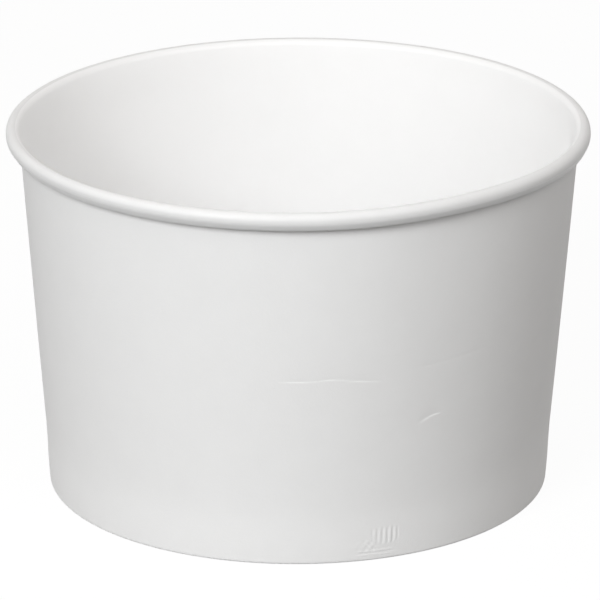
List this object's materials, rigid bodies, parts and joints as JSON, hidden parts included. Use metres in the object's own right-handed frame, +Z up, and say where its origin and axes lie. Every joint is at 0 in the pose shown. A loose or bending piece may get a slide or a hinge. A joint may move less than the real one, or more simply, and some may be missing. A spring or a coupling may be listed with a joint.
{
  "type": "paper soup bowl",
  "caption": "Round tapered paperboard bowl with a rolled rim, a lapped side seam and a raised base disc sealed in a folded foot, for serving hot food.",
  "frame": {"origin": "centre of the foot, on the surface that the bowl stands on", "axes": "+Z up along the bowl's axis, out of its mouth; -Y towards the camera of the picture; +X to the right, just in front of the side seam"},
  "size_m": [0.115, 0.115, 0.0735],
  "materials": {
    "sidewall_board": "matte",
    "base_board": "matte"
  },
  "bodies": {
    "root": {"sidewall": "sidewall_board", "base_disc": "base_board"}
  },
  "joints": []
}
